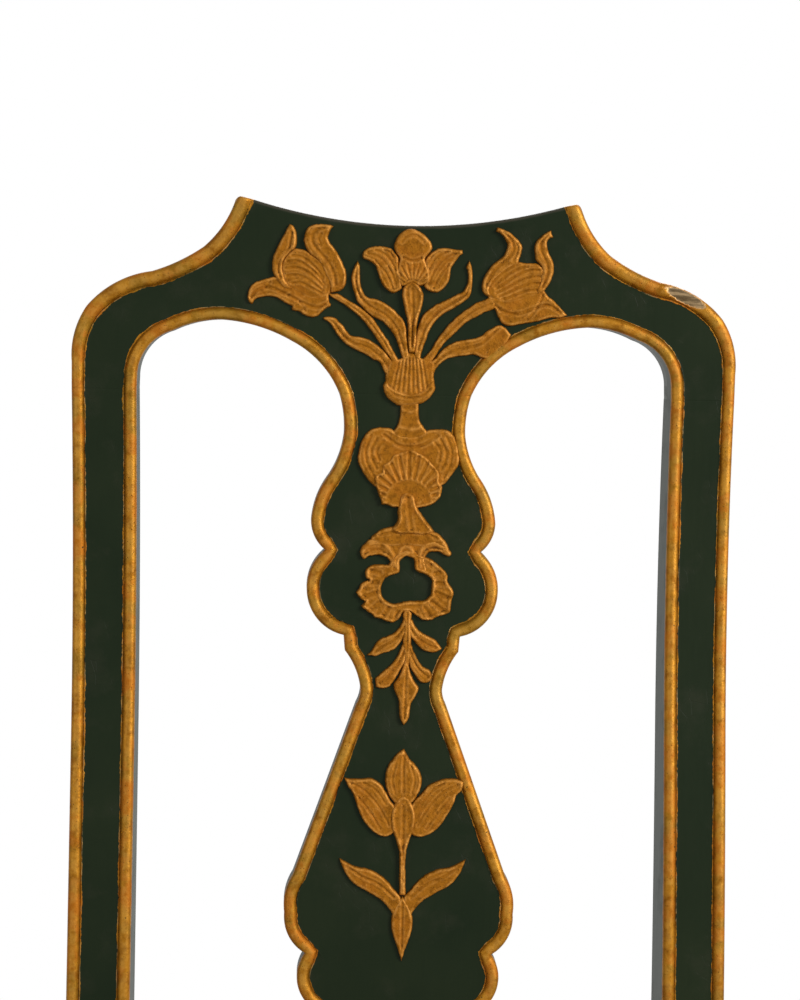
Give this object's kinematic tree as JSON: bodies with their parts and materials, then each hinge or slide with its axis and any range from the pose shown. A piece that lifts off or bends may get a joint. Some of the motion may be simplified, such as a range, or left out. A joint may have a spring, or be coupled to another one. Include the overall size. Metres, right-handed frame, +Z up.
{
  "type": "side chair",
  "caption": "Japanned side chair with an eared crest, vase splat, spoon-curved back, cabriole front legs and a lift-out slip seat.",
  "frame": {"origin": "on the floor under the middle of the bounding box", "axes": "+Z up, +X towards the right of someone facing the chair's front, the front faces -Y"},
  "size_m": [0.5472, 0.5236, 1.045],
  "materials": {
    "green_japan": "satin dark green japan",
    "bare_softwood": "bare planed softwood",
    "jute_webbing": "woven jute",
    "linen_canvas": "coarse linen",
    "curled_hair": "curled hair stuffing",
    "woven_cover": "woven silk damask",
    "iron_tack": "blued"
  },
  "bodies": {
    "chair_frame": {"back_splat": "green_japan", "corner_block_front_left": "bare_softwood", "corner_block_front_right": "bare_softwood", "corner_block_rear_left": "bare_softwood", "corner_block_rear_right": "bare_softwood", "crest_rail": "green_japan", "front_leg_left": "green_japan", "front_leg_right": "green_japan", "joint_pegs": "green_japan", "knee_bracket_front_left": "green_japan", "knee_bracket_front_right": "green_japan", "knee_bracket_side_left": "green_japan", "knee_bracket_side_right": "green_japan", "rear_post_left": "green_japan", "rear_post_right": "green_japan", "seat_rail_front": "green_japan", "seat_rail_left": "green_japan", "seat_rail_rear": "green_japan", "seat_rail_right": "green_japan", "splat_shoe": "green_japan"},
    "slip_seat": {"seat_canvas": "linen_canvas", "seat_cover": "woven_cover", "seat_stuffing": "curled_hair", "seat_webbing": "jute_webbing", "slip_frame_front": "bare_softwood", "slip_frame_left": "bare_softwood", "slip_frame_rear": "bare_softwood", "slip_frame_right": "bare_softwood", "upholstery_tacks": "iron_tack"}
  },
  "joints": [
    {"name": "slip_seat_lift", "type": "slide", "parent": "chair_frame", "child": "slip_seat", "axis": [0, 0, 1], "range_m": [0, 0.15]}
  ]
}
